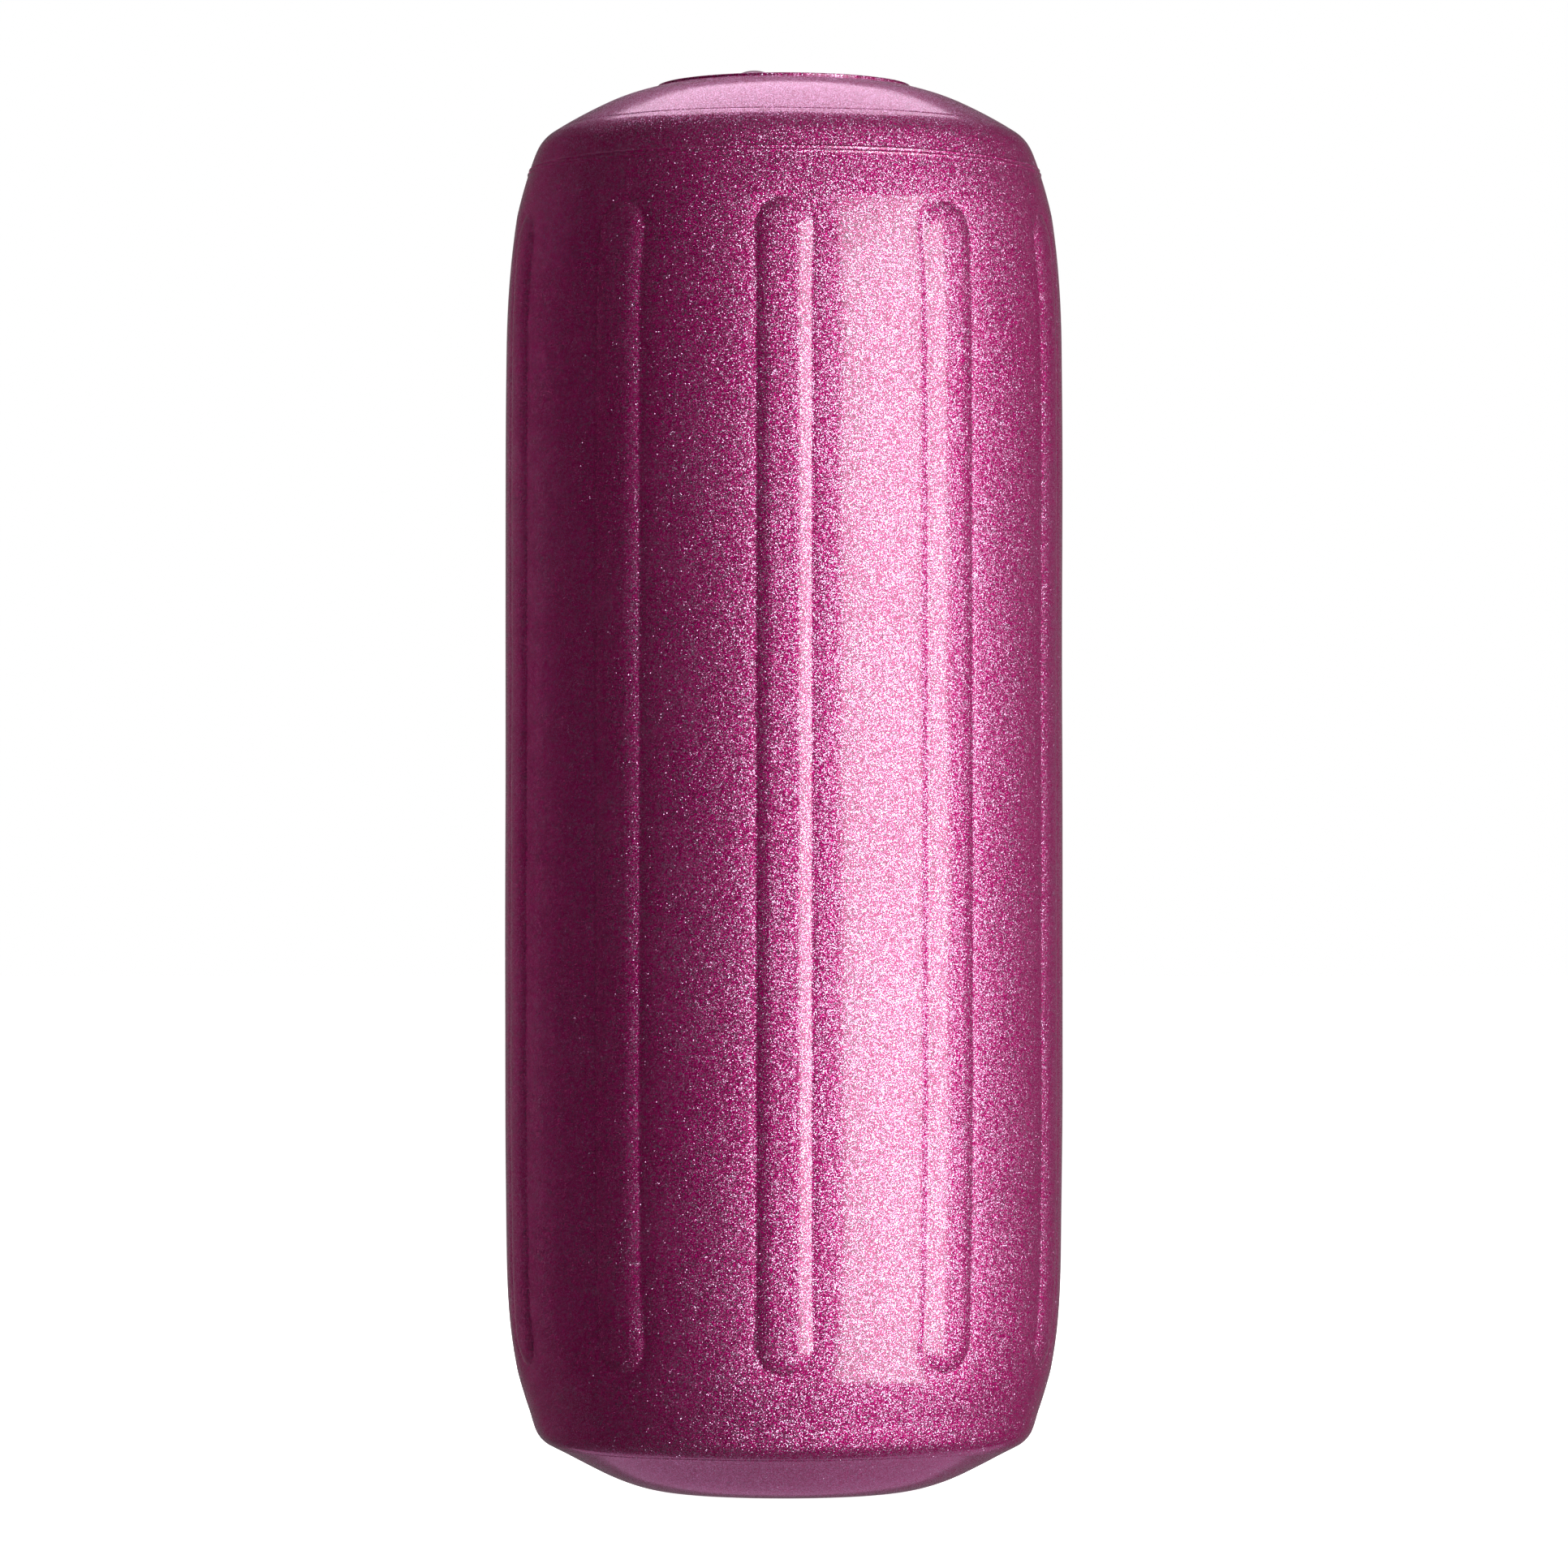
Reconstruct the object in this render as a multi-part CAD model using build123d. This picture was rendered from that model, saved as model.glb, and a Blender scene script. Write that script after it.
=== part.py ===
from build123d import *

# Ribbed inflatable boat fender with a rope tube through its middle, in millimetres.
#
# The axis is Z. The origin is the centre of the flat lower hub, which is what the fender stands on, and one
# rib faces -Y. The vinyl body is four mouldings: a thin ribbed barrel skin, a thick upper and lower end, and
# the rope tube that joins their hubs. The upper hub holds the air valve: a bonded body with a spring-closed
# poppet, and a slotted screw plug over it with an O-ring under its head.

import math
import os

# ---- Body outline: a barrel, then arcs that lean in by "tilt" degrees from upright ----
BARREL_R = 101.6  # outer radius between the ribs
STRAIGHT_HALF = 146.0  # from the middle to where the barrel starts to draw in
EASE_R, EASE_TILT = 700.0, 3.2  # first, very gentle arc
TAPER_R, TAPER_TILT = 150.0, 19.0  # the arc that forms the tapered ends
TAPER_FLAT = 6.3  # short straight run up to the corner
CORNER_R, CORNER_TILT = 11.0, 61.2  # rounded corner between the side and the dome
CONE_RUN = 15.3  # straight run of the dome, next to the corner
UPPER_DOME_R, UPPER_CROWN_TILT = 122.0, 74.6
UPPER_CROWN_RUN = 0.4  # straight end of the upper dome, against its collar
COLLAR_STEP = 0.5  # the flat upper hub is a low collar, this proud of the dome
LOWER_DOME_R, LOWER_CROWN_TILT = 80.0, 85.0
LOWER_HUB_EDGE_R = 15.0  # soft edge where the lower dome meets its flat hub

# ---- Walls and seams ----
SKIN = 2.4  # barrel wall
END_WALL = 4.8  # end wall, which also forms the skirt inside the barrel
WELD_GAP = 0.1
SEAM_TILT = 18.3  # where an end meets the barrel skin
SKIRT_TILT = 14.8  # how far the end's skirt reaches down inside the barrel
BEAD_TILT, BEAD_H = 1.15, 0.45  # weld bead along the upper seam: width as a turn of the taper arc, height

# ---- Ribs ----
RIB_COUNT = 10
RIB_W, RIB_H = 20.0, 1.5
RIB_HALF_LENGTH = 208.0
RIB_ROOT = 1.0  # how deep the rib's own solid is let into the skin
RIB_EDGE = 0.8

# ---- Hubs and rope tube ----
BORE_R = 12.5
MOUTH_R = 5.0  # rounded mouth of the rope hole
TUBE_WALL = 3.0
SOCKET_TOP = 9.0  # depth of the tube's end below the hub face
HUB_DEPTH = 15.0  # depth of the sleeve that grips the tube
HUB_PLATE = 9.0  # thickness of the flat hub
HUB_PLATE_R = 36.0
SLEEVE_R = 20.5

# ---- Air valve, measured down from the upper hub face ----
VALVE_AT_R, VALVE_TURN = 27.5, 23.0  # distance from the axis, degrees round from -Y towards -X
VALVE_R = 8.0
VALVE_L = 24.0
VALVE_FLANGE_R, VALVE_FLANGE_T = 10.5, 1.5
BOSS_R = 12.5
RECESS_R, RECESS_D = 6.1, 2.2  # pocket for the O-ring
PITCH = 2.0
NUT_BORE_R, NUT_CREST_R, NUT_END = 5.4, 4.6, 10.7
NUT_THREAD_TOP, NUT_THREAD_END = 2.6, 10.5
CHAMBER_R, CHAMBER_END = 4.6, 16.0
ORIFICE_R, SEAT_D = 3.6, 19.0
BRIDGE_T, BRIDGE_HUB_R, SPOKE_W, SPOKES = 1.4, 1.9, 1.2, 3
SKIRT_BORE_R = 6.2
STEM_R, STEM_CLEARANCE, STEM_TOP = 1.0, 0.1, 10.7
SEAL_R, SEAL_T, SEAT_GAP = 4.8, 1.15, 0.05
CARRIER_R, CARRIER_T = 4.4, 1.2
RETAINER_R, RETAINER_T = 2.7, 1.0
SPRING_MEAN_R, SPRING_WIRE, SPRING_TURNS = 1.9, 0.4, 4.0
PLUG_HEAD_R, PLUG_HEAD_H, PLUG_HEAD_GAP = 6.6, 2.9, 0.1
PLUG_RIM_H = 1.0
PLUG_NECK_R, PLUG_CORE_R, PLUG_CREST_R = 4.2, 4.3, 5.2
PLUG_L = 9.5  # half a pitch short of the nut thread's end, so that the ridges mesh
PLUG_THREAD_TOP = 3.4
SLOT_W, SLOT_D = 1.6, 1.3
THREAD_ROOT_W, THREAD_CREST_W, THREAD_OVERLAP = 1.0, 0.4, 0.15
O_RING_R, O_RING_WIRE = 5.2, 0.85


def turn(tilt):
    """Outward normal of the outline where it leans in by tilt degrees, as (radial, axial)."""
    return math.cos(math.radians(tilt)), math.sin(math.radians(tilt))


class Outline:
    """The body's side outline from the middle outwards, at a given inset from the outer surface."""

    def __init__(self, dome_r, crown_tilt, crown_run, step):
        self.step = step
        self.runs = [
            ("arc", EASE_R, 0.0, EASE_TILT),
            ("arc", TAPER_R, EASE_TILT, TAPER_TILT),
            ("line", TAPER_FLAT, TAPER_TILT, TAPER_TILT),
            ("arc", CORNER_R, TAPER_TILT, CORNER_TILT),
            ("line", CONE_RUN, CORNER_TILT, CORNER_TILT),
            ("arc", dome_r, CORNER_TILT, crown_tilt),
            crown_run,
        ]

    def start(self, index, inset=0.0):
        """(radius, height) at the start of a run."""
        r, h = BARREL_R, STRAIGHT_HALF
        for kind, size, tilt_a, tilt_b in self.runs[:index]:
            ra, ha = turn(tilt_a)
            if kind == "arc":
                rb, hb = turn(tilt_b)
                r, h = r + size * (rb - ra), h + size * (hb - ha)
            else:
                r, h = r - size * ha, h + size * ra
        ra, ha = turn(self.runs[index][2] if index < len(self.runs) else 90.0)
        return r - inset * ra, h - inset * ha

    def on_arc(self, index, tilt, inset=0.0):
        """(radius, height) on arc number index, where it leans in by tilt."""
        _, size, tilt_a, _ = self.runs[index]
        r, h = self.start(index)
        ra, ha = turn(tilt_a)
        rt, ht = turn(tilt)
        reach = size - inset
        return r - size * ra + reach * rt, h - size * ha + reach * ht

    def arc_edge(self, index, tilt_a, tilt_b, inset=0.0):
        """Part of arc number index, between two tilts."""
        points = [self.on_arc(index, t, inset) for t in (tilt_a, (tilt_a + tilt_b) / 2, tilt_b)]
        return ThreePointArc(*[flat(*p) for p in points])

    def run_edge(self, index, inset=0.0):
        kind, _, tilt_a, tilt_b = self.runs[index]
        if kind == "arc":
            return self.arc_edge(index, tilt_a, tilt_b, inset)
        return Line(flat(*self.start(index, inset)), flat(*self.start(index + 1, inset)))

    def hub_edge(self):
        """(radius, height) where the dome ends."""
        return self.start(len(self.runs))

    def height(self):
        """Height of the flat hub face above the middle."""
        return self.hub_edge()[1] + self.step


def flat(r, h):
    """A point of a side outline, in the XZ plane."""
    return Vector(r, 0, h)


def lines(*points):
    """Straight edges through (radius, height) points."""
    ends = [p if isinstance(p, Vector) else flat(*p) for p in points]
    return [Line(a, b) for a, b in zip(ends, ends[1:])]


def spin(edges):
    """The solid swept by a closed side outline round the Z axis."""
    return revolve(make_face(Wire(edges)), Axis.Z, 360)


UPPER_CROWN = ("line", UPPER_CROWN_RUN, UPPER_CROWN_TILT, UPPER_CROWN_TILT)
LOWER_CROWN = ("arc", LOWER_HUB_EDGE_R, LOWER_CROWN_TILT, 90.0)
UPPER = Outline(UPPER_DOME_R, UPPER_CROWN_TILT, UPPER_CROWN, COLLAR_STEP)
LOWER = Outline(LOWER_DOME_R, LOWER_CROWN_TILT, LOWER_CROWN, 0.0)
MIDDLE = LOWER.height()  # height of the middle above the lower hub face
TOP = MIDDLE + UPPER.height()
EASE, TAPER, SIDE, CORNER, CONE, DOME, CROWN = range(7)


def barrel_edges(inset):
    """Barrel outline from the lower seam to the upper seam, centred on the middle."""
    edges = [
        UPPER.arc_edge(TAPER, SEAM_TILT, EASE_TILT, inset),
        UPPER.arc_edge(EASE, EASE_TILT, 0.0, inset),
    ]
    top = flat(BARREL_R - inset, STRAIGHT_HALF)
    return edges + lines(top, flat(BARREL_R - inset, -STRAIGHT_HALF)) + [e.mirror(Plane.XY) for e in edges]


def barrel_band(outer_inset, inner_inset):
    """The closed band between two insets of the barrel outline, spun into a shell."""
    ends = [UPPER.on_arc(TAPER, SEAM_TILT, i) for i in (outer_inset, inner_inset)]
    caps = lines(*ends) + lines(*[(r, -h) for r, h in ends])
    return spin(barrel_edges(outer_inset) + barrel_edges(inner_inset) + caps)


def make_rib():
    """One raised rib on the -Y side, with rounded ends and soft edges."""
    band = barrel_band(-RIB_H, RIB_ROOT)
    face = Plane.XZ * SlotOverall(2 * RIB_HALF_LENGTH, RIB_W, rotation=90)
    rib = band & Pos(0, -BARREL_R / 2, 0) * extrude(face, BARREL_R)
    outer_face = min(rib.faces(), key=lambda f: f.center().Y)
    return fillet(outer_face.edges(), RIB_EDGE)


def make_barrel():
    skin = barrel_band(0.0, SKIN)
    rib = make_rib()
    for i in range(RIB_COUNT):
        skin += Rot(0, 0, i * 360.0 / RIB_COUNT) * rib
    return Pos(0, 0, MIDDLE) * skin


def make_end(outline):
    """A thick end: skirt, tapered side, dome, flat hub with the rope mouth, and the sleeve for the tube."""
    inner, skin_clear = END_WALL, SKIN + WELD_GAP
    top = outline.height()
    tube_r = BORE_R + TUBE_WALL
    bend = MOUTH_R * (1 - math.cos(math.radians(45)))
    mouth = ThreePointArc(
        flat(BORE_R + MOUTH_R, top),
        flat(BORE_R + bend, top - bend),
        flat(BORE_R, top - MOUTH_R),
    )
    edges = [outline.arc_edge(TAPER, SEAM_TILT, TAPER_TILT)]
    edges += [outline.run_edge(i) for i in (SIDE, CORNER, CONE, DOME, CROWN)]
    if outline.step > 0:
        edges += lines(outline.hub_edge(), (outline.hub_edge()[0], top))
    edges += lines((outline.hub_edge()[0], top), (BORE_R + MOUTH_R, top)) + [mouth]
    edges += lines(
        (BORE_R, top - MOUTH_R),
        (BORE_R, top - SOCKET_TOP),
        (tube_r, top - SOCKET_TOP),
        (tube_r, top - HUB_DEPTH),
        (SLEEVE_R, top - HUB_DEPTH),
        (SLEEVE_R, top - HUB_PLATE),
        (HUB_PLATE_R, top - HUB_PLATE),
        outline.start(DOME, inner),
    )
    edges += [outline.run_edge(i, inner) for i in (CONE, CORNER, SIDE)]
    edges += [outline.arc_edge(TAPER, TAPER_TILT, SKIRT_TILT, inner)]
    edges += lines(outline.on_arc(TAPER, SKIRT_TILT, inner), outline.on_arc(TAPER, SKIRT_TILT, skin_clear))
    edges += [outline.arc_edge(TAPER, SKIRT_TILT, SEAM_TILT, skin_clear)]
    edges += lines(outline.on_arc(TAPER, SEAM_TILT, skin_clear), outline.on_arc(TAPER, SEAM_TILT))
    return spin(edges)


def make_bead(outline):
    """Weld bead on the end side of a seam, let a little into the wall."""
    tilts = (SEAM_TILT, SEAM_TILT + BEAD_TILT / 2, SEAM_TILT + BEAD_TILT)
    low, crest, high = (outline.on_arc(TAPER, t, -BEAD_H * f) for t, f in zip(tilts, (0, 1, 0)))
    root = [outline.on_arc(TAPER, t, RIB_ROOT) for t in (tilts[2], tilts[0])]
    return spin([ThreePointArc(flat(*low), flat(*crest), flat(*high))] + lines(high, *root, low))


def at_valve(shape):
    """Places a valve piece, modelled on the Z axis with the hub face at height 0."""
    a = math.radians(VALVE_TURN)
    return Pos(-VALVE_AT_R * math.sin(a), -VALVE_AT_R * math.cos(a), TOP) * shape


def drum(radius, top, bottom):
    """A cylinder on the Z axis between two depths below the hub face."""
    return Pos(0, 0, -(top + bottom) / 2) * Cylinder(radius, bottom - top)


def ridge(root_r, crest_r, top, bottom):
    """A helical thread ridge from root_r to crest_r, right-handed, between two depths."""
    lean = THREAD_OVERLAP if crest_r > root_r else -THREAD_OVERLAP
    half_root, half_crest = THREAD_ROOT_W / 2, THREAD_CREST_W / 2
    section = Polyline(
        (root_r - lean, 0, -half_root),
        (root_r, 0, -half_root),
        (crest_r, 0, -half_crest),
        (crest_r, 0, half_crest),
        (root_r, 0, half_root),
        (root_r - lean, 0, half_root),
        close=True,
    )
    path = Helix(PITCH, bottom - top - THREAD_ROOT_W, root_r)
    return Pos(0, 0, -bottom + half_root) * sweep(make_face(section), path=path, is_frenet=True)


def make_upper_end():
    end = Pos(0, 0, MIDDLE) * (make_end(UPPER) + make_bead(UPPER))
    end += at_valve(drum(BOSS_R, HUB_PLATE / 2, VALVE_L))
    end -= at_valve(drum(VALVE_R, -1.0, VALVE_L + 1.0))
    return end - Pos(0, 0, TOP - VALVE_L) * Cylinder(BORE_R + TUBE_WALL, VALVE_L - SOCKET_TOP, align=LOW)


def make_lower_end():
    return Pos(0, 0, MIDDLE) * make_end(LOWER).mirror(Plane.XY)


LOW = (Align.CENTER, Align.CENTER, Align.MIN)


def make_rope_tube():
    length = TOP - 2 * SOCKET_TOP
    tube = Cylinder(BORE_R + TUBE_WALL, length, align=LOW) - Cylinder(BORE_R, length, align=LOW)
    return Pos(0, 0, SOCKET_TOP) * tube


def make_valve_body():
    body = drum(VALVE_R, 0, VALVE_L) + drum(VALVE_FLANGE_R, VALVE_L, VALVE_L + VALVE_FLANGE_T)
    body -= drum(RECESS_R, -1, RECESS_D) + drum(NUT_BORE_R, 0, NUT_END) + drum(CHAMBER_R, 0, CHAMBER_END)
    body -= drum(ORIFICE_R, 0, SEAT_D) + drum(SKIRT_BORE_R, SEAT_D, VALVE_L + VALVE_FLANGE_T + 1)
    body += ridge(NUT_BORE_R, NUT_CREST_R, NUT_THREAD_TOP, NUT_THREAD_END)
    bridge = drum(BRIDGE_HUB_R, CHAMBER_END, CHAMBER_END + BRIDGE_T)
    spoke = Pos(ORIFICE_R / 2 + 0.2, 0, -CHAMBER_END - BRIDGE_T / 2) * Box(ORIFICE_R + 0.4, SPOKE_W, BRIDGE_T)
    for i in range(SPOKES):
        bridge += Rot(0, 0, i * 360.0 / SPOKES) * spoke
    return body + (bridge - drum(STEM_R + STEM_CLEARANCE, CHAMBER_END - 1, CHAMBER_END + BRIDGE_T + 1))


def make_plug():
    head = drum(PLUG_HEAD_R, -PLUG_RIM_H, -PLUG_HEAD_GAP)
    rise = PLUG_HEAD_H - PLUG_RIM_H
    crown_r = (PLUG_HEAD_R**2 + rise**2) / (2 * rise)
    crown = Pos(0, 0, PLUG_HEAD_H - crown_r) * Sphere(crown_r)
    head += crown & drum(PLUG_HEAD_R, -PLUG_HEAD_H, -PLUG_RIM_H)
    head -= Pos(0, 0, PLUG_HEAD_H) * Box(3 * PLUG_HEAD_R, SLOT_W, 2 * SLOT_D)
    shank = drum(PLUG_NECK_R, -PLUG_RIM_H / 2, PLUG_THREAD_TOP) + drum(PLUG_CORE_R, PLUG_THREAD_TOP, PLUG_L)
    return head + shank + ridge(PLUG_CORE_R, PLUG_CREST_R, PLUG_THREAD_TOP, PLUG_L)


def make_o_ring():
    return Pos(0, 0, -(RECESS_D - PLUG_HEAD_GAP) / 2) * Torus(O_RING_R, O_RING_WIRE)


def make_poppet():
    carrier_top = SEAT_D + SEAT_GAP + SEAL_T
    return drum(CARRIER_R, carrier_top, carrier_top + CARRIER_T) + drum(STEM_R, STEM_TOP, carrier_top)


def make_poppet_seal():
    top = SEAT_D + SEAT_GAP
    return drum(SEAL_R, top, top + SEAL_T) - drum(STEM_R, top - 1, top + SEAL_T + 1)


def make_retainer():
    bottom = STEM_TOP + RETAINER_T
    return drum(RETAINER_R, STEM_TOP, bottom) - drum(STEM_R, STEM_TOP - 1, bottom + 1)


def make_spring():
    """Compression spring between the bridge and the retainer."""
    top = STEM_TOP + RETAINER_T + SPRING_WIRE / 2 + SEAT_GAP
    bottom = CHAMBER_END - SPRING_WIRE / 2 - SEAT_GAP
    path = Helix((bottom - top) / SPRING_TURNS, bottom - top, SPRING_MEAN_R)
    section = Plane(path @ 0, z_dir=path % 0) * Circle(SPRING_WIRE / 2)
    return Pos(0, 0, -bottom) * sweep(section, path=path, is_frenet=True)


def main():
    os.makedirs("parts", exist_ok=True)
    pieces = {
        "barrel_skin": make_barrel(),
        "upper_end": make_upper_end(),
        "lower_end": make_lower_end(),
        "rope_tube": make_rope_tube(),
        "valve_body": at_valve(make_valve_body()),
        "valve_plug": at_valve(make_plug()),
        "plug_o_ring": at_valve(make_o_ring()),
        "valve_poppet": at_valve(make_poppet()),
        "poppet_seal": at_valve(make_poppet_seal()),
        "poppet_spring": at_valve(make_spring()),
        "spring_retainer": at_valve(make_retainer()),
    }
    for node, shape in pieces.items():
        export_step(shape, f"parts/{node}.step")
    print("middle", round(MIDDLE, 3), "top", round(TOP, 3))


main()
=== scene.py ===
import math

import bmesh
import bpy
import numpy as np
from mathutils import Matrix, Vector
from mathutils.geometry import delaunay_2d_cdt


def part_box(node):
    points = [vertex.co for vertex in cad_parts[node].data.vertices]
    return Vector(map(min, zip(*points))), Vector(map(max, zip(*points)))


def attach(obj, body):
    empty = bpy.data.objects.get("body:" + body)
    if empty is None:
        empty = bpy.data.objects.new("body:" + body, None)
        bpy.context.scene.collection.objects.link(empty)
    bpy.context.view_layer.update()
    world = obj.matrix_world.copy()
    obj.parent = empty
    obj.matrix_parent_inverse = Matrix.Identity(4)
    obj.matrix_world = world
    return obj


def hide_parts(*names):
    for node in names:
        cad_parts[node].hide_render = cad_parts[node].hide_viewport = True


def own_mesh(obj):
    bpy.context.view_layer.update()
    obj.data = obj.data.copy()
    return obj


# A ribbed inflatable boat fender in metallic-flake vinyl, standing on a plain pale floor.
# Shapes are worked out in millimetres and written to meshes in metres.
# The floor, camera and lights are in metres.

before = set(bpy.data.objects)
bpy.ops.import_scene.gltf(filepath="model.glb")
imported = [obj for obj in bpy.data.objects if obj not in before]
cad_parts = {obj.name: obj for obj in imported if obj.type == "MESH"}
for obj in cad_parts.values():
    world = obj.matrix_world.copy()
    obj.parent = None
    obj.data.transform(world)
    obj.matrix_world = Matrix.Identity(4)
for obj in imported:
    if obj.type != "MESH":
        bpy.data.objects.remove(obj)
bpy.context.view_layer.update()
scene = bpy.context.scene
MM = 0.001

# ---------------------------------------------------------------- sizes, mm
BODY_R = 101.35
RIB_COUNT = 10
RIB_HALF_W = 10.0  # rib foot to rib middle
CREST_HALF_W = 3.2
FOOT_SLOPE = 0.37  # steepest flank, at the foot
FOOT_ROUND = 0.3
CROWN = 0.12  # extra height of a rib's middle
VALLEYS = ((0.20, 2.2), (0.75, 7.5))  # (depth, reach) of the dip along a rib's foot
RIB_TOP, RIB_BOTTOM = 207.4, -207.2  # rib tips, along the outline from the middle
SEAM_LINES = (224.6, 226.2)  # the upper seam's two fine beads
SEAM_BEAD_H, SEAM_BEAD_W = 0.36, 0.34
SEAM_CUT, LOWER_CUT = 225.4, -223.2  # where the barrel meets the ends
# The fine line round each dome: (place, depth, width)
INSERT_LINES = ((244.6, 0.12, 0.38), (-240.9, 0.16, 0.42))
# The slow unevenness of a moulding cooled under air pressure: (height, turns, change along, start)
WAVES = ((0.10, 3, 0.013, 0.7), (0.07, 7, -0.021, 2.1), (0.05, 2, 0.045, 0.0), (0.03, 13, 0.06, 0.0))
WAVE_FROM_R, WAVE_FULL_R = 48.0, 73.0
RELIEF_FROM_R, RELIEF_FULL_R = 39.0, 45.0
MOUTH_R, BORE_R = 5.0, 12.5
SOCKET_DEPTH, HUB_DEPTH, PLATE_T, PLATE_R = 9.0, 15.0, 9.0, 36.0
TUBE_R, SLEEVE_R = 15.5, 20.5
BARREL_WALL, END_WALL = 2.4, 4.8
VALVE_R, VALVE_GAP, VALVE_SIDES = 8.0, 0.12, 72
POCKET_FLOOR = 0.6  # how far the valve's pocket stops short of the hub plate's back
RIM_ROUND, JOIN_ROUND, JOIN_RISE = 0.35, 0.15, 0.10  # the collar's edge, and its foot on the dome
RIM_START = -40  # degrees

# Each run is (length along the outline, lean from upright in degrees at its end), from the middle outwards.
UPPER_RUNS = (
    (121.1, 0), (40, 0.6), (12, 2.3), (16, 5.0), (19.2, 8.8), (1.0, 12.9), (11.6, 16.8), (4, 18.5),
    (5, 19.5), (4, 24.6), (4, 40), (4, 57.3), (9, 60.5), (12, 64.2), (13, 73.6), (8.6, 75.6),
)
LOWER_RUNS = (
    (100.2, 0), (40, 0.9), (20, 0.8), (12, 1.0), (16, 4.0), (21.8, 11.2), (1.0, 14.5), (13.2, 18.9),
    (4.7, 15.4), (4, 21.5), (4, 43.2), (4, 64.2), (8, 62.0), (12, 63.4), (13, 72.6), (14, 86), (4.9, 90),
)


def outline(runs):
    """Distance along the outline, radius, height from the middle, and lean in radians, in fine steps."""
    ends = np.cumsum([0.0] + [length for length, _ in runs])
    leans = [0.0] + [lean for _, lean in runs]
    step = 0.1
    s = np.arange(0.0, ends[-1] + step / 2, step)
    lean = np.interp(s, ends, leans)
    reach = 8
    soft = np.exp(-0.5 * (np.arange(-reach, reach + 1) * step / 0.35) ** 2)
    padded = np.concatenate([np.full(reach, lean[0]), lean, np.full(reach, lean[-1])])
    lean = np.radians(np.convolve(padded, soft / soft.sum(), "valid"))
    mid = (lean[1:] + lean[:-1]) / 2
    r = BODY_R - np.concatenate([[0.0], np.cumsum(np.sin(mid) * step)])
    h = np.concatenate([[0.0], np.cumsum(np.cos(mid) * step)])
    return s, r, h, lean


UP, LO = outline(UPPER_RUNS), outline(LOWER_RUNS)
MIDDLE = LO[2][-1]
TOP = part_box("valve_body")[1].z / MM
S_TOP, S_BOTTOM = UP[0][-1], -LO[0][-1]
ALL_S = np.concatenate([-LO[0][::-1], UP[0][1:]])
ALL_R = np.concatenate([LO[1][::-1], UP[1][1:]])
ALL_Z = np.concatenate([MIDDLE - LO[2][::-1], MIDDLE + UP[2][1:]])
ALL_LEAN = np.concatenate([-LO[3][::-1], UP[3][1:]])


def bump(x, width):
    return np.exp(-((x / width) ** 2))


def share(r, start, full):
    """From 0 at radius start to 1 at radius full."""
    return np.clip((r - start) / (full - start), 0.0, 1.0)


def relief(a, s, r):
    """How far the skin stands out from its outline at azimuth a (radians) and outline distance s."""
    pitch = 2 * math.pi / RIB_COUNT
    across = (a + pitch / 2) % pitch - pitch / 2
    u = across * r
    v = s - np.clip(s, RIB_BOTTOM + RIB_HALF_W, RIB_TOP - RIB_HALF_W)
    from_line = np.hypot(u, v)
    flank = np.clip(from_line - CREST_HALF_W, 0.0, RIB_HALF_W - CREST_HALF_W)
    run = RIB_HALF_W - CREST_HALF_W
    rib = FOOT_SLOPE * (run**2 - flank**2) / (2 * run)
    outside = np.sqrt(np.maximum(from_line - RIB_HALF_W, 0.0) ** 2 + FOOT_ROUND**2)
    dip = sum(depth * np.exp(-outside / reach) for depth, reach in VALLEYS)
    crown = CROWN * np.clip(1 - from_line / RIB_HALF_W, 0, 1)
    out = rib + crown - dip
    for line in SEAM_LINES:
        out = out + SEAM_BEAD_H * bump(s - line, SEAM_BEAD_W)
    for line, depth, width in INSERT_LINES:
        out = out - depth * bump(s - line, width)
    wave = sum(height * np.sin(turns * a + along * s + start) for height, turns, along, start in WAVES)
    return out + wave * share(r, WAVE_FROM_R, WAVE_FULL_R)


def skin(a, s):
    """Points of the outer skin, mm."""
    r = np.interp(s, ALL_S, ALL_R)
    z = np.interp(s, ALL_S, ALL_Z)
    lean = np.interp(s, ALL_S, ALL_LEAN)
    out = relief(a, s, r) * share(r, RELIEF_FROM_R, RELIEF_FULL_R)
    r = r + out * np.cos(lean)
    z = z + out * np.sin(lean)
    return np.stack([r * np.sin(a), -r * np.cos(a), z], axis=-1)


def skin_normals(a, s):
    """Directions of the outer skin, from its change over a short step each way."""
    ds = 0.12
    da = ds / BODY_R
    along_a = skin(a + da, s) - skin(a - da, s)
    along_s = skin(a, np.minimum(s + ds, S_TOP)) - skin(a, np.maximum(s - ds, S_BOTTOM))
    n = np.cross(along_a, along_s)
    return n / np.linalg.norm(n, axis=-1, keepdims=True)


def azimuths():
    """Column azimuths, close together over each rib and its foot."""
    half = np.concatenate([np.linspace(0, 13, 15), [14.2, 15.8, 17.8, 20.2, 23.0, 26.0, 29.0, 31.92]])
    sector = np.concatenate([-half[1:-1][::-1], half])
    sector = sector / half[-1] * math.pi / RIB_COUNT
    return np.concatenate([sector + k * 2 * math.pi / RIB_COUNT for k in range(RIB_COUNT)])


AZ = azimuths()


def spans(*parts):
    """Row positions: (start, end, step) runs joined end to end."""
    rows = []
    for lo, hi, step in parts:
        count = max(1, round((hi - lo) / step))
        rows.extend(lo + (hi - lo) * i / count for i in range(count))
    rows.append(parts[-1][1])
    return np.array(rows)


def ring_points(path):
    """Plain rings for (radius, height) pairs."""
    rz = np.array(path, dtype=float)
    r, z = rz[:, :1], rz[:, 1:]
    return np.stack([r * np.sin(AZ), -r * np.cos(AZ), z + 0 * AZ], axis=-1)


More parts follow.
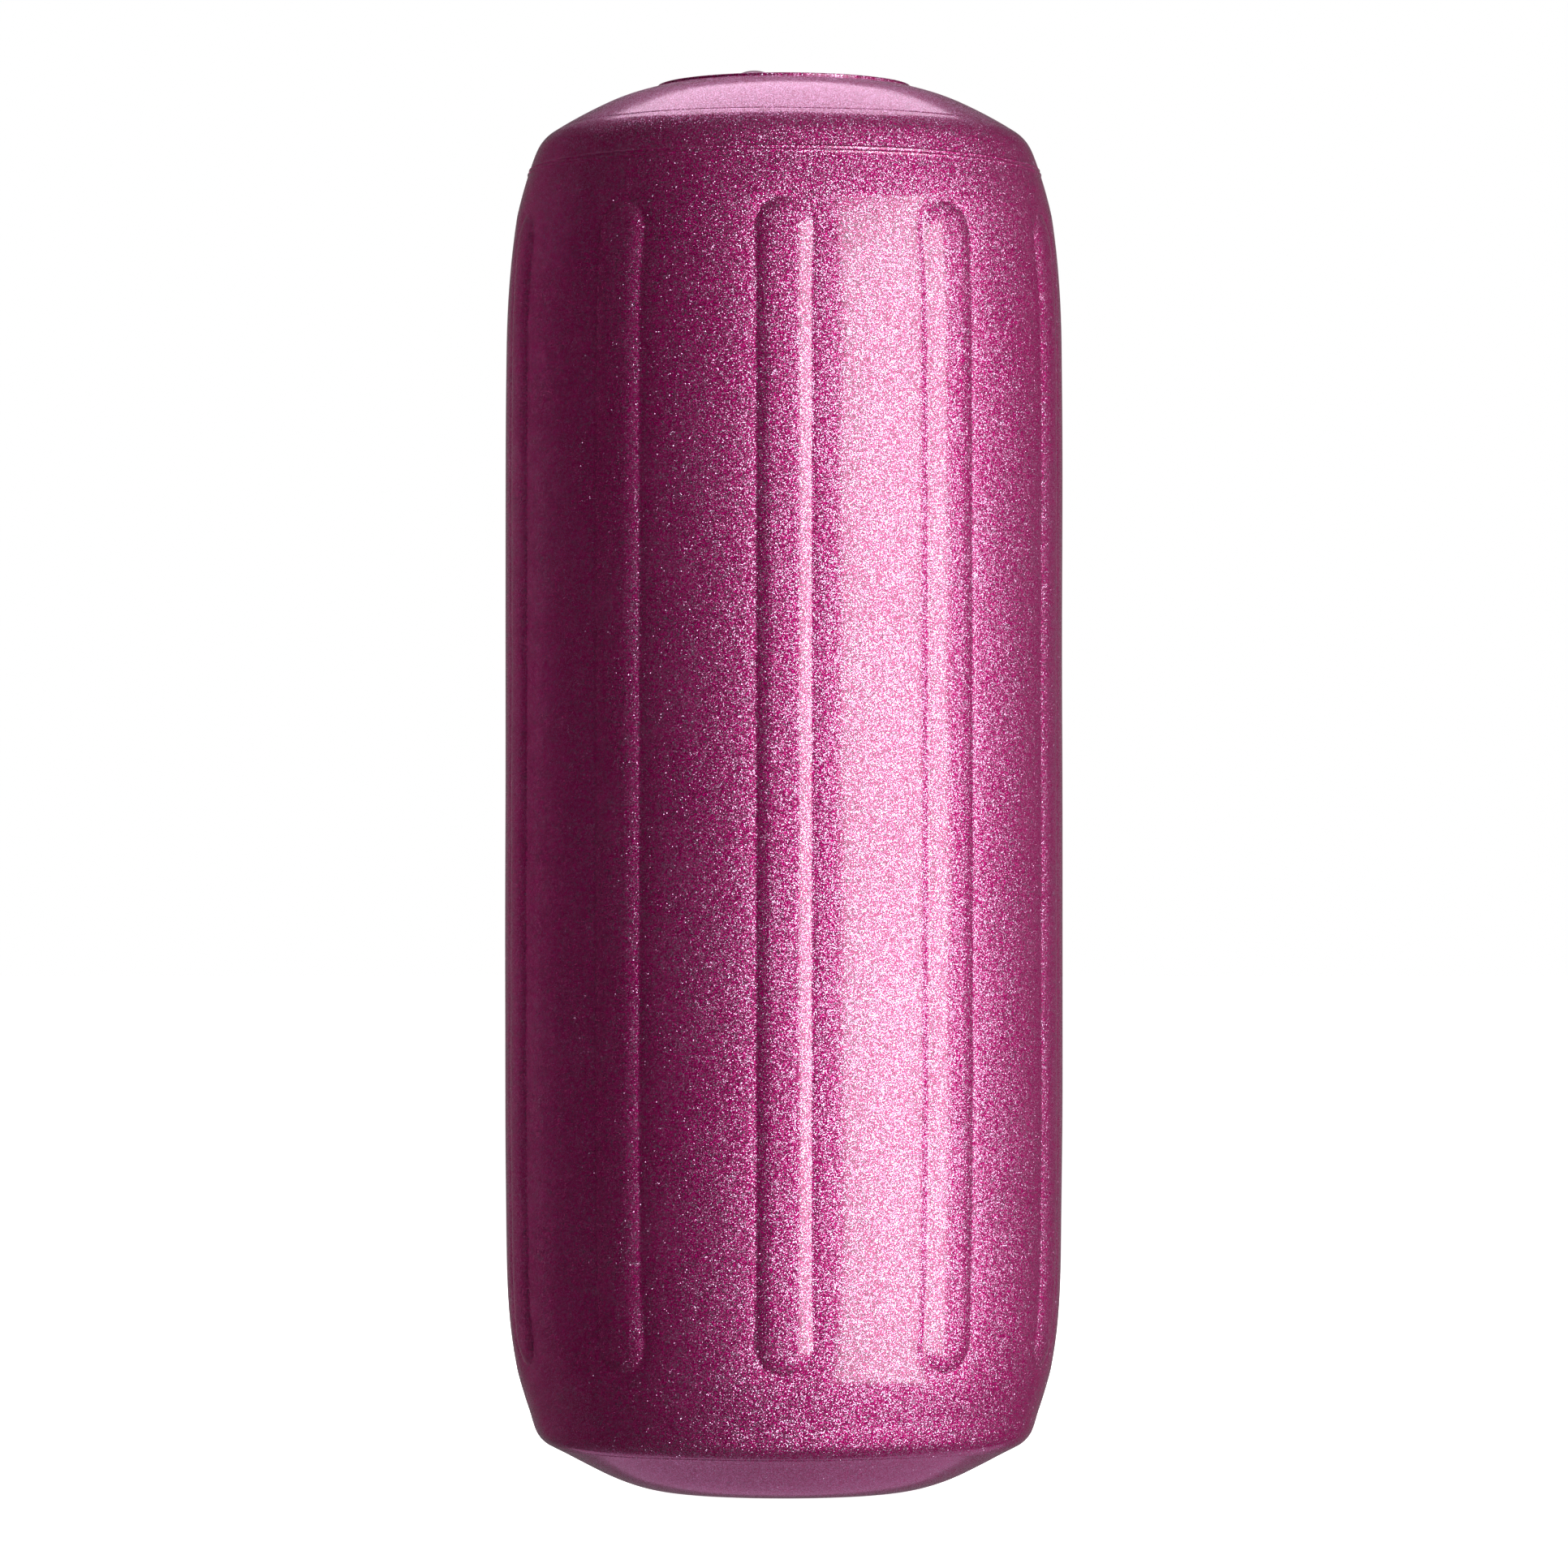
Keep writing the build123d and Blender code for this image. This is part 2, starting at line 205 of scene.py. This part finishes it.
def plain_normals(path):
    """Directions of plain rings, square to their path."""
    rz = np.array(path, dtype=float)
    d = np.gradient(rz, axis=0)
    n = np.stack([d[:, 1], -d[:, 0]], axis=1)
    n = n / np.maximum(np.linalg.norm(n, axis=1, keepdims=True), 1e-9)
    return np.stack([n[:, :1] * np.sin(AZ), -n[:, :1] * np.cos(AZ), n[:, 1:] + 0 * AZ], axis=-1)


def arc(cr, cz, radius, a0, a1, count):
    """(radius, height) points of an arc about (cr, cz), angles in degrees from outward."""
    angles = np.radians(np.linspace(a0, a1, count))
    return [(cr + radius * math.cos(t), cz + radius * math.sin(t)) for t in angles]


def loop_mesh(name, blocks, closed=True):
    """A mesh from blocks of rings with their normals, joined row to row and, if closed, back to the start."""
    points = np.concatenate([p for p, _ in blocks]).reshape(-1, 3)
    normals = np.concatenate([n for _, n in blocks]).reshape(-1, 3)
    columns = len(AZ)
    rows = len(points) // columns
    i = np.arange(rows if closed else rows - 1)[:, None]
    j = np.arange(columns)[None, :]
    i2, j2 = (i + 1) % rows, (j + 1) % columns
    quads = np.stack([i * columns + j, i * columns + j2, i2 * columns + j2, i2 * columns + j], axis=-1)
    mesh = bpy.data.meshes.new(name)
    mesh.from_pydata((points * MM).tolist(), [], quads.reshape(-1, 4).tolist())
    return mesh, normals


def finish_mesh(mesh, normals=None):
    mesh.update()
    mesh.shade_smooth()
    if normals is not None:
        mesh.normals_split_custom_set_from_vertices(normals.tolist())
    obj = bpy.data.objects.new(mesh.name, mesh)
    scene.collection.objects.link(obj)
    return obj


def skin_block(rows):
    a, s = np.meshgrid(AZ, rows)
    return skin(a, s), skin_normals(a, s)


def plain_block(path):
    return ring_points(path), plain_normals(path)


def inner_path(rows, inset):
    """(radius, height) of the outline set in by a wall."""
    r, z, lean = (np.interp(rows, ALL_S, table) for table in (ALL_R, ALL_Z, ALL_LEAN))
    return list(zip(r - inset * np.cos(lean), z - inset * np.sin(lean)))


# ---------------------------------------------------------------- vinyl body
def make_barrel():
    rows = spans(
        (LOWER_CUT, -216, 1.8), (-216, -192, 1.0), (-192, -180, 2.0), (-180, 178, 5.0), (178, 190, 2.0),
        (190, 213, 1.0), (213, 223, 1.6), (223, SEAM_CUT, 0.2),
    )
    inner = inner_path(np.linspace(SEAM_CUT, LOWER_CUT, 40), BARREL_WALL)
    mesh, normals = loop_mesh("ribbed_barrel", [skin_block(rows), plain_block(inner)])
    return finish_mesh(mesh, normals)


def end_inside(top, sign, rows):
    """(radius, height) from the bore's foot round the sleeve and under the hub, to the inner seam."""
    path = [(BORE_R, top - sign * (MOUTH_R + 1.5)), (BORE_R, top - sign * SOCKET_DEPTH)]
    path += [(TUBE_R, top - sign * SOCKET_DEPTH), (TUBE_R, top - sign * HUB_DEPTH)]
    path += [(SLEEVE_R, top - sign * HUB_DEPTH), (SLEEVE_R, top - sign * PLATE_T)]
    path += [(PLATE_R, top - sign * PLATE_T)]
    return path + inner_path(rows, END_WALL)


def make_lower_end():
    mouth = arc(BORE_R + MOUTH_R, MOUTH_R, MOUTH_R, 180, 270, 9)
    hub = [(r, 0.0) for r in (20, 24, 29, 33.5)]
    dome = spans(
        (S_BOTTOM, -252, 2.2), (-252, -244, 1.4), (-244, -238, 0.25), (-238, -229, 0.8),
        (-229, LOWER_CUT, 1.5),
    )
    back = end_inside(0.0, -1, np.linspace(-281, LOWER_CUT, 24))
    blocks = [plain_block(back[::-1]), plain_block(mouth + hub), skin_block(dome)]
    mesh, normals = loop_mesh("lower_end_cap", blocks)
    return finish_mesh(mesh, normals)


def valve_centre():
    lo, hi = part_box("valve_body")
    mid = (lo + hi) / 2 / MM
    return mid.x, mid.y


def circle(radius, turns, centre):
    return [(centre[0] + radius * math.cos(t), centre[1] + radius * math.sin(t)) for t in turns]


def make_upper_hub(rim_r):
    """The flat top from the collar's edge to the bore, with the pocket that the valve body sits in."""
    at = valve_centre()
    turns = 2 * math.pi * np.arange(VALVE_SIDES) / VALVE_SIDES
    mouth_r, hole_r = BORE_R + MOUTH_R, VALVE_R + VALVE_GAP
    rings = [[Vector((r * math.sin(a), -r * math.cos(a))) for a in AZ] for r in (rim_r, mouth_r)]
    rings.append([Vector(p) for p in circle(hole_r, turns, at)])
    verts = [v for ring in rings for v in ring]
    edges, start = [], 0
    for ring in rings:
        edges += [(start + i, start + (i + 1) % len(ring)) for i in range(len(ring))]
        start += len(ring)
    flat, _, tris, *_ = delaunay_2d_cdt(verts, edges, [], 0, 1e-5)
    slack = 0.01
    faces = []
    for tri in tris:
        middle = sum((flat[k] for k in tri), Vector((0, 0))) / 3
        if middle.length > mouth_r - slack and (middle - Vector(at)).length > hole_r - slack:
            faces.append(tri)
    points = [(p.x * MM, p.y * MM, TOP * MM) for p in flat]
    base = len(points)
    pocket = ((0.0, VALVE_GAP), (0.25, 0.0), (1.2, 0.0), (PLATE_T - POCKET_FLOOR, 0.0))
    for depth, gap in pocket:
        ring = circle(VALVE_R + gap, turns, at)
        points += [(x * MM, y * MM, (TOP - depth) * MM) for x, y in ring]
    points.append((at[0] * MM, at[1] * MM, (TOP - PLATE_T + POCKET_FLOOR) * MM))
    for k in range(len(pocket) - 1):
        upper, lower = base + k * VALVE_SIDES, base + (k + 1) * VALVE_SIDES
        for i in range(VALVE_SIDES):
            j = (i + 1) % VALVE_SIDES
            faces.append((upper + i, lower + i, lower + j, upper + j))
    last, middle = base + (len(pocket) - 1) * VALVE_SIDES, base + len(pocket) * VALVE_SIDES
    faces += [(last + i, middle, last + (i + 1) % VALVE_SIDES) for i in range(VALVE_SIDES)]
    hub = bpy.data.meshes.new("upper_hub")
    hub.from_pydata(points, [], faces)
    return hub


def weld_upper_end(outer, n_outer, inside, n_inside, hub):
    """One closed mesh from the three parts of the upper end. The normals travel as a point attribute."""
    bm = bmesh.new()
    layer = bm.verts.layers.float_vector.new("n")
    for mesh, normals in ((outer, n_outer), (inside, n_inside), (hub, None)):
        first = len(bm.verts)
        bm.from_mesh(mesh)
        bm.verts.ensure_lookup_table()
        for i in range(first, len(bm.verts)):
            bm.verts[i][layer] = normals[i - first] if normals is not None else (0, 0, 1)
        bpy.data.meshes.remove(mesh)
    # close the shell at the seam, from the inner wall back to the outer skin
    bm.verts.ensure_lookup_table()
    count = len(AZ)
    last_inside = len(n_outer) + len(n_inside) - count
    for i in range(count):
        j = (i + 1) % count
        bm.faces.new([bm.verts[k] for k in (last_inside + i, last_inside + j, j, i)])
    bmesh.ops.remove_doubles(bm, verts=bm.verts, dist=2e-6)
    bmesh.ops.recalc_face_normals(bm, faces=bm.faces)
    merged = bpy.data.meshes.new("upper_end_cap")
    normals = np.array([v[layer][:] for v in bm.verts])
    bm.to_mesh(merged)
    bm.free()
    return merged, normals


def make_upper_end():
    """The dome and the bore are rings; the flat hub lies between them."""
    dome = spans(
        (SEAM_CUT, 228, 0.2), (228, 231, 1.0), (231, 241.5, 0.8), (241.5, 247.5, 0.25), (247.5, 253, 1.4),
        (253, S_TOP, 2.2),
    )
    r0, z0 = ALL_R[-1], ALL_Z[-1]
    rim = arc(r0 - JOIN_ROUND, z0 + JOIN_RISE, JOIN_ROUND, RIM_START, 0, 3)
    rim += arc(r0 - RIM_ROUND, TOP - RIM_ROUND, RIM_ROUND, 0, 90, 6)
    mouth = arc(BORE_R + MOUTH_R, TOP - MOUTH_R, MOUTH_R, 90, 180, 9)
    back = end_inside(TOP, 1, np.linspace(281, SEAM_CUT, 24))
    outer, n_outer = loop_mesh("upper_outer", [skin_block(dome), plain_block(rim)], closed=False)
    inside, n_inside = loop_mesh("upper_inside", [plain_block(mouth + back)], closed=False)
    mesh, normals = weld_upper_end(outer, n_outer, inside, n_inside, make_upper_hub(r0 - RIM_ROUND))
    return finish_mesh(mesh, normals)


barrel = make_barrel()
lower_end = make_lower_end()
upper_end = make_upper_end()


# ---------------------------------------------------------------- materials
DEEP, PALE = (0.41, 0.001, 0.138), (0.90, 0.61, 0.89)
DEEP_ROUGH, PALE_ROUGH, DEEP_METAL = 0.48, 0.37, 0.66
FLAKE_TILT, GLINT_TILT = 0.80, 1.7
FLAKES_PER_METRE = 4600.0
# A flake's draw is from 0 to 1. It starts to turn pale between the first two, is fully pale at the third,
# and glints from the fourth to the fifth.
PALE_FROM_LOW, PALE_FROM_HIGH, PALE_FULL, GLINT_FROM, GLINT_FULL = 0.59, 0.68, 0.78, 0.94, 0.98
DRAW_SPREAD = 29.0  # how many times over the cell's blue value is wrapped, to part the draw from the lean


def set_inputs(node, values):
    """Sets a node's unlinked inputs by name."""
    for name, value in values.items():
        node.inputs[name].default_value = value


def new_material(name):
    m = bpy.data.materials.new(name)
    m.use_nodes = True
    nodes, links = m.node_tree.nodes, m.node_tree.links
    return m, nodes, links, nodes["Principled BSDF"]


def make_vinyl():
    """Clear vinyl full of fine flakes: pale ones among deep, dyed ones, each tilted its own way."""
    m, nodes, links, shader = new_material("flake_vinyl")
    place = nodes.new("ShaderNodeTexCoord")
    flakes = nodes.new("ShaderNodeTexVoronoi")
    set_inputs(flakes, {"Scale": FLAKES_PER_METRE, "Randomness": 1.0})
    links.new(place.outputs["Object"], flakes.inputs["Vector"])
    split = nodes.new("ShaderNodeSeparateColor")
    links.new(flakes.outputs["Color"], split.inputs["Color"])
    # each flake's draw, pale or deep, has nothing to do with the way it leans
    spread = nodes.new("ShaderNodeMath")
    spread.operation = "MULTIPLY"
    spread.inputs[1].default_value = DRAW_SPREAD
    links.new(split.outputs["Blue"], spread.inputs[0])
    draw = nodes.new("ShaderNodeMath")
    draw.operation = "FRACT"
    links.new(spread.outputs["Value"], draw.inputs[0])
    # slow drift in how thickly the pale flakes lie
    drift = nodes.new("ShaderNodeTexNoise")
    set_inputs(drift, {"Scale": 14.0, "Detail": 3.0})
    links.new(place.outputs["Object"], drift.inputs["Vector"])
    drift_range = nodes.new("ShaderNodeMapRange")
    set_inputs(drift_range, {"From Min": 0.3, "From Max": 0.7})
    set_inputs(drift_range, {"To Min": PALE_FROM_LOW, "To Max": PALE_FROM_HIGH})
    links.new(drift.outputs["Fac"], drift_range.inputs["Value"])
    is_pale = nodes.new("ShaderNodeMapRange")
    links.new(drift_range.outputs["Result"], is_pale.inputs["From Min"])
    is_pale.inputs["From Max"].default_value = PALE_FULL
    links.new(draw.outputs["Value"], is_pale.inputs["Value"])
    colour = nodes.new("ShaderNodeMix")
    colour.data_type = "RGBA"
    set_inputs(colour, {"A": (*DEEP, 1), "B": (*PALE, 1)})
    links.new(is_pale.outputs["Result"], colour.inputs["Factor"])
    links.new(colour.outputs["Result"], shader.inputs["Base Color"])
    gloss = nodes.new("ShaderNodeMapRange")
    set_inputs(gloss, {"To Min": DEEP_ROUGH, "To Max": PALE_ROUGH})
    links.new(is_pale.outputs["Result"], gloss.inputs["Value"])
    links.new(gloss.outputs["Result"], shader.inputs["Roughness"])
    metal = nodes.new("ShaderNodeMapRange")
    metal.inputs["To Min"].default_value = DEEP_METAL
    links.new(is_pale.outputs["Result"], metal.inputs["Value"])
    links.new(metal.outputs["Result"], shader.inputs["Metallic"])
    # each flake's tilt: a random lean added to the surface's own direction
    centred = nodes.new("ShaderNodeVectorMath")
    centred.operation = "SUBTRACT"
    centred.inputs[1].default_value = (0.5, 0.5, 0.5)
    links.new(flakes.outputs["Color"], centred.inputs[0])
    tilt = nodes.new("ShaderNodeVectorMath")
    tilt.operation = "SCALE"
    # a few flakes lean much further than the rest, and glint on their own
    how_far = nodes.new("ShaderNodeMapRange")
    set_inputs(how_far, {"From Min": GLINT_FROM, "From Max": GLINT_FULL})
    set_inputs(how_far, {"To Min": FLAKE_TILT, "To Max": GLINT_TILT})
    links.new(draw.outputs["Value"], how_far.inputs["Value"])
    links.new(how_far.outputs["Result"], tilt.inputs["Scale"])
    links.new(centred.outputs["Vector"], tilt.inputs[0])
    geometry = nodes.new("ShaderNodeNewGeometry")
    lean = nodes.new("ShaderNodeVectorMath")
    lean.operation = "ADD"
    links.new(geometry.outputs["Normal"], lean.inputs[0])
    links.new(tilt.outputs["Vector"], lean.inputs[1])
    unit = nodes.new("ShaderNodeVectorMath")
    unit.operation = "NORMALIZE"
    links.new(lean.outputs["Vector"], unit.inputs[0])
    links.new(unit.outputs["Vector"], shader.inputs["Normal"])
    # the clear top layer is smooth, with a slight orange peel
    peel = nodes.new("ShaderNodeTexNoise")
    set_inputs(peel, {"Scale": 160.0, "Detail": 2.0})
    links.new(place.outputs["Object"], peel.inputs["Vector"])
    peel_bump = nodes.new("ShaderNodeBump")
    set_inputs(peel_bump, {"Strength": 0.10, "Distance": 0.0004})
    links.new(peel.outputs["Fac"], peel_bump.inputs["Height"])
    links.new(peel_bump.outputs["Normal"], shader.inputs["Coat Normal"])
    set_inputs(shader, {"Specular IOR Level": 0.1})
    set_inputs(shader, {"Coat Weight": 1.0, "Coat Roughness": 0.15, "Coat IOR": 1.45})
    return m


vinyl = make_vinyl()
for piece, node in ((barrel, "barrel_skin"), (upper_end, "upper_end"), (lower_end, "lower_end")):
    piece.data.materials.append(vinyl)
    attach(piece, "fender")
    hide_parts(node)


def paint(node, material):
    """Gives a CAD node's every material place the one material."""
    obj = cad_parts[node]
    for k in range(max(1, len(obj.data.materials))):
        if len(obj.data.materials) <= k:
            obj.data.materials.append(material)
        else:
            obj.data.materials[k] = material


paint("rope_tube", vinyl)


def make_plastic(name, base, roughness, scale):
    """Moulded plastic with a faint mottle in colour and gloss."""
    m, nodes, links, shader = new_material(name)
    place = nodes.new("ShaderNodeTexCoord")
    noise = nodes.new("ShaderNodeTexNoise")
    set_inputs(noise, {"Scale": scale, "Detail": 5.0})
    links.new(place.outputs["Object"], noise.inputs["Vector"])
    mottle = nodes.new("ShaderNodeMix")
    mottle.data_type = "RGBA"
    darker, lighter = [c * 0.82 for c in base], [min(1.0, c * 1.12) for c in base]
    set_inputs(mottle, {"A": (*darker, 1), "B": (*lighter, 1)})
    links.new(noise.outputs["Fac"], mottle.inputs["Factor"])
    links.new(mottle.outputs["Result"], shader.inputs["Base Color"])
    gloss = nodes.new("ShaderNodeMapRange")
    set_inputs(gloss, {"To Min": roughness - 0.08, "To Max": roughness + 0.08})
    links.new(noise.outputs["Fac"], gloss.inputs["Value"])
    links.new(gloss.outputs["Result"], shader.inputs["Roughness"])
    grain = nodes.new("ShaderNodeBump")
    set_inputs(grain, {"Strength": 0.15, "Distance": 0.0002})
    links.new(noise.outputs["Fac"], grain.inputs["Height"])
    links.new(grain.outputs["Normal"], shader.inputs["Normal"])
    return m, shader


plug_plastic, _ = make_plastic("plug_plastic", (0.16, 0.008, 0.055), 0.32, 900)
nylon, _ = make_plastic("valve_nylon", (0.72, 0.71, 0.67), 0.45, 700)
rubber, _ = make_plastic("seal_rubber", (0.025, 0.025, 0.026), 0.55, 1500)
steel, steel_shader = make_plastic("spring_steel", (0.62, 0.62, 0.63), 0.28, 2500)
steel_shader.inputs["Metallic"].default_value = 1.0
for node in ("valve_body", "valve_poppet", "spring_retainer"):
    paint(node, nylon)
for node in ("plug_o_ring", "poppet_seal"):
    paint(node, rubber)
paint("valve_plug", plug_plastic)

# ---------------------------------------------------------------- the poppet's spring, mm
SPRING_TURNS, SPRING_MEAN_R, SPRING_WIRE_R = 4, 1.9, 0.2


def make_spring(sides=10, per_turn=36):
    """The poppet's return spring, a plain coil."""
    low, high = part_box("poppet_spring")
    x, y = (low.x + high.x) / 2 / MM, (low.y + high.y) / 2 / MM
    bottom, top = low.z / MM + SPRING_WIRE_R, high.z / MM - SPRING_WIRE_R
    turn = np.linspace(0, 2 * math.pi * SPRING_TURNS, SPRING_TURNS * per_turn + 1)[:, None]
    around = np.arange(sides)[None, :] * 2 * math.pi / sides
    r = SPRING_MEAN_R + SPRING_WIRE_R * np.cos(around)
    z = bottom + (top - bottom) * turn / turn[-1] + SPRING_WIRE_R * np.sin(around)
    points = np.stack([x + r * np.cos(turn), y + r * np.sin(turn), z], axis=-1)
    count = len(turn)
    faces = []
    for i in range(count - 1):
        for j in range(sides):
            this, following, k = i * sides, (i + 1) * sides, (j + 1) % sides
            faces.append((this + j, following + j, following + k, this + k))
    faces += [tuple(range(sides)), tuple(range(count * sides - 1, (count - 1) * sides - 1, -1))]
    mesh = bpy.data.meshes.new("return_spring")
    mesh.from_pydata((points.reshape(-1, 3) * MM).tolist(), [], faces)
    spring = finish_mesh(mesh)
    mesh.materials.append(steel)
    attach(spring, "fender")
    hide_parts("poppet_spring")
    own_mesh(spring)


make_spring()

# ---------------------------------------------------------------- floor, camera and light
PAPER = 1.0  # the backdrop's own brightness, as the camera sees it
FLOOR_REACH, FLOOR_Z = 40, -0.0002  # m; just under the hub that stands on it
corners = [(x * FLOOR_REACH, y * FLOOR_REACH, FLOOR_Z) for x, y in ((-1, -1), (1, -1), (1, 1), (-1, 1))]
floor_mesh = bpy.data.meshes.new("floor")
floor_mesh.from_pydata(corners, [], [(0, 1, 2, 3)])
floor = bpy.data.objects.new("floor", floor_mesh)
scene.collection.objects.link(floor)
floor_material, nodes, links, floor_shader = new_material("pale_floor")
set_inputs(floor_shader, {"Base Color": (0.5, 0.5, 0.5, 1), "Roughness": 0.9, "Specular IOR Level": 0.0})
set_inputs(floor_shader, {"Emission Color": (1, 1, 1, 1), "Emission Strength": PAPER})
floor_mesh.materials.append(floor_material)
# only the camera sees the floor, so the fender's underside is lit as in a white cove
floor.visible_diffuse = False
floor.visible_glossy = False
floor.visible_transmission = False
floor.visible_shadow = False

CAMERA_AWAY, CAMERA_HEIGHT, CAMERA_TILT = 2.714, 0.1995, 1.2056
camera_data = bpy.data.cameras.new("camera")
camera_data.lens = 171.3
camera_data.sensor_width = 36.0
camera_data.clip_start, camera_data.clip_end = 0.05, 200.0
camera = bpy.data.objects.new("camera", camera_data)
camera.location = (0, -CAMERA_AWAY, CAMERA_HEIGHT)
camera.rotation_euler = (math.radians(90 + CAMERA_TILT), 0, 0)
scene.collection.objects.link(camera)
scene.camera = camera


def softbox(name, place, aim, size, watts, colour=(1, 1, 1)):
    light = bpy.data.lights.new(name, "AREA")
    light.shape = "RECTANGLE"
    light.size, light.size_y = size
    light.energy = watts
    light.color = colour
    obj = bpy.data.objects.new(name, light)
    obj.location = place
    obj.rotation_euler = (Vector(aim) - Vector(place)).to_track_quat("-Z", "Y").to_euler()
    scene.collection.objects.link(obj)
    return obj


def polar(azimuth, away, height):
    """A place at this azimuth in degrees (0 is towards the camera), distance from the axis and height, m."""
    a = math.radians(azimuth)
    return away * math.sin(a), -away * math.cos(a), height


softbox("key", polar(43.5, 1.5, 0.2), (0, 0, 0.2), (1.3, 1.65), 39.5)
# behind the fender, for the sheen on each dome
softbox("overhead", (0, 0.97, 1.74), (0, 0, 0.5), (0.95, 0.92), 6.8, (1, 0.70, 0.92))
softbox("underneath", (0.1, 1.1, -1.05), (0, 0, 0), (1.5, 0.9), 2.1, (1, 0.42, 0.8))
# these fill in the colour without showing as reflections
for turn, height, watts in ((-137, 0.28, 95), (138, 0.28, 63), (-12, 0.45, 10), (-40, -1.3, 2.5)):
    unseen = softbox("fill", polar(turn, 1.6, height), (0, 0, 0.2), (1.2, 1.8), watts)
    unseen.visible_glossy = False

world = bpy.data.worlds.new("studio")
scene.world = world
world.use_nodes = True
nodes, links = world.node_tree.nodes, world.node_tree.links
background = nodes["Background"]
place = nodes.new("ShaderNodeTexCoord")
axes = nodes.new("ShaderNodeSeparateXYZ")
links.new(place.outputs["Generated"], axes.inputs["Vector"])
# soft light from above, below and behind the fender, and darkness round the camera


def slope(value, start, end, low, high):
    node = nodes.new("ShaderNodeMapRange")
    node.interpolation_type = "SMOOTHSTEP"
    set_inputs(node, {"From Min": start, "From Max": end, "To Min": low, "To Max": high})
    links.new(value, node.inputs["Value"])
    return node.outputs["Result"]


def add(a, b):
    node = nodes.new("ShaderNodeMath")
    node.operation = "ADD"
    links.new(a, node.inputs[0])
    links.new(b, node.inputs[1])
    return node.outputs["Value"]


behind = slope(axes.outputs["Y"], 0.78, 1.0, 0.005, 0.12)
above = slope(axes.outputs["Z"], 0.4, 0.95, 0, 0.06)
below = slope(axes.outputs["Z"], -0.9, -0.45, 0.04, 0)
room = add(add(behind, above), below)
is_camera = nodes.new("ShaderNodeLightPath")
seen = nodes.new("ShaderNodeMix")
seen.data_type = "FLOAT"
links.new(is_camera.outputs["Is Camera Ray"], seen.inputs["Factor"])
links.new(room, seen.inputs["A"])
seen.inputs["B"].default_value = PAPER
links.new(seen.outputs["Result"], background.inputs["Strength"])
background.inputs["Color"].default_value = (1, 1, 1, 1)

scene.view_settings.view_transform = "Standard"
